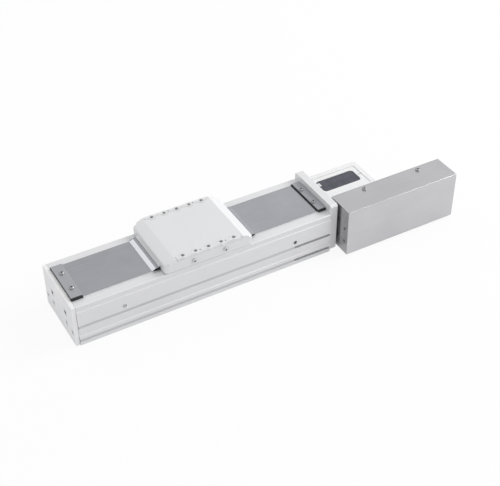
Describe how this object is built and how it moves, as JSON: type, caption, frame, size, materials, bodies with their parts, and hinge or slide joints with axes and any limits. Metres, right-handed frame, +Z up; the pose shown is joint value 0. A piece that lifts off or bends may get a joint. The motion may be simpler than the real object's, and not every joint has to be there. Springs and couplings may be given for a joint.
{
  "type": "belt driven linear module",
  "caption": "Belt driven linear module: extruded body closed by a steel strip, low carriage with tapped pads, drive housing and a side belt box for a motor.",
  "frame": {"origin": "middle of the extruded body's underside", "axes": "+X along the stroke towards the drive end, -Y towards the belt box, +Z up out of the carriage's pads"},
  "size_m": [0.4668, 0.098, 0.0682],
  "materials": {
    "anodised_profile": "satin natural anodised extrusion",
    "machined_aluminium": "fine milled and anodised",
    "carriage_aluminium": "satin anodised",
    "brushed_sheet": "brushed sheet",
    "strip_steel": "cold rolled spring strip",
    "ground_steel": "ground",
    "screw_steel": "plain zinc",
    "pulley_aluminium": "turned",
    "belt_rubber": "matt",
    "slot_plastic": "extruded",
    "guide_plastic": "moulded",
    "magnet_rubber": "bonded magnet"
  },
  "bodies": {
    "base": {"base_profile": "anodised_profile", "end_plate": "machined_aluminium", "drive_flange": "machined_aluminium", "drive_housing": "machined_aluminium", "housing_cover": "machined_aluminium", "window_plug": "guide_plastic", "bearing_cap": "machined_aluminium", "guide_rail_front": "ground_steel", "guide_rail_back": "ground_steel", "rail_screws": "screw_steel", "strip_anchor_left": "machined_aluminium", "strip_anchor_right": "machined_aluminium", "strip_clamp_left": "carriage_aluminium", "strip_clamp_right": "carriage_aluminium", "strip_clamp_screws": "screw_steel", "cover_strip": "strip_steel", "magnet_strips": "magnet_rubber", "slot_covers": "slot_plastic", "tension_block": "machined_aluminium", "idler_pin": "ground_steel", "idler_washers": "ground_steel", "idler_bearing_inner": "ground_steel", "drive_bearing_outer": "ground_steel", "bumper_left": "belt_rubber", "bumper_posts": "machined_aluminium", "bumper_right": "belt_rubber", "motor_plate": "machined_aluminium", "motor_plate_screws": "screw_steel", "belt_box_cover": "brushed_sheet", "box_cover_screws": "screw_steel", "main_belt": "belt_rubber", "motor_belt": "belt_rubber", "end_plate_screws": "screw_steel", "tension_screws": "screw_steel", "flange_screws": "screw_steel", "housing_screws": "screw_steel", "side_plugs": "screw_steel"},
    "carriage": {"carriage_base": "carriage_aluminium", "carriage_cover": "carriage_aluminium", "carriage_cover_screws": "screw_steel", "strip_shoe_left": "guide_plastic", "strip_shoe_right": "guide_plastic", "runner_block_1": "ground_steel", "runner_block_2": "ground_steel", "runner_block_3": "ground_steel", "runner_block_4": "ground_steel", "runner_end_caps": "guide_plastic", "belt_clamp_left": "carriage_aluminium", "belt_clamp_right": "carriage_aluminium", "belt_clamp_screws": "screw_steel"},
    "drive_shaft_unit": {"drive_shaft": "ground_steel", "drive_pulley": "pulley_aluminium", "driven_pulley": "pulley_aluminium", "drive_bearing_inner": "ground_steel"},
    "idler_unit": {"idler_pulley": "pulley_aluminium", "idler_bearing_outer": "ground_steel"},
    "motor_pulley_unit": {"motor_pulley": "pulley_aluminium"}
  },
  "joints": [
    {"name": "carriage_slide", "type": "slide", "parent": "base", "child": "carriage", "axis": [1, 0, 0], "range_m": [-0.075, 0.075], "deforming": ["cover_strip", "main_belt", "motor_belt"]},
    {"name": "drive_turn", "type": "hinge", "parent": "base", "child": "drive_shaft_unit", "pos_m": [0.1948, 0, 0.031], "axis": [0, 1, 0], "range_deg": [-272, 272]},
    {"name": "idler_turn", "type": "hinge", "parent": "base", "child": "idler_unit", "pos_m": [-0.1252, 0, 0.031], "axis": [0, 1, 0], "range_deg": [-272, 272]},
    {"name": "motor_pulley_turn", "type": "hinge", "parent": "base", "child": "motor_pulley_unit", "pos_m": [0.2798, -0.042, 0.031], "axis": [0, 1, 0], "range_deg": [-272, 272]}
  ],
  "couplings": [
    {"joint": "drive_turn", "follows": "carriage_slide", "rad_per_m": 62.832},
    {"joint": "idler_turn", "follows": "carriage_slide", "rad_per_m": 62.832},
    {"joint": "motor_pulley_turn", "follows": "carriage_slide", "rad_per_m": 62.832}
  ]
}
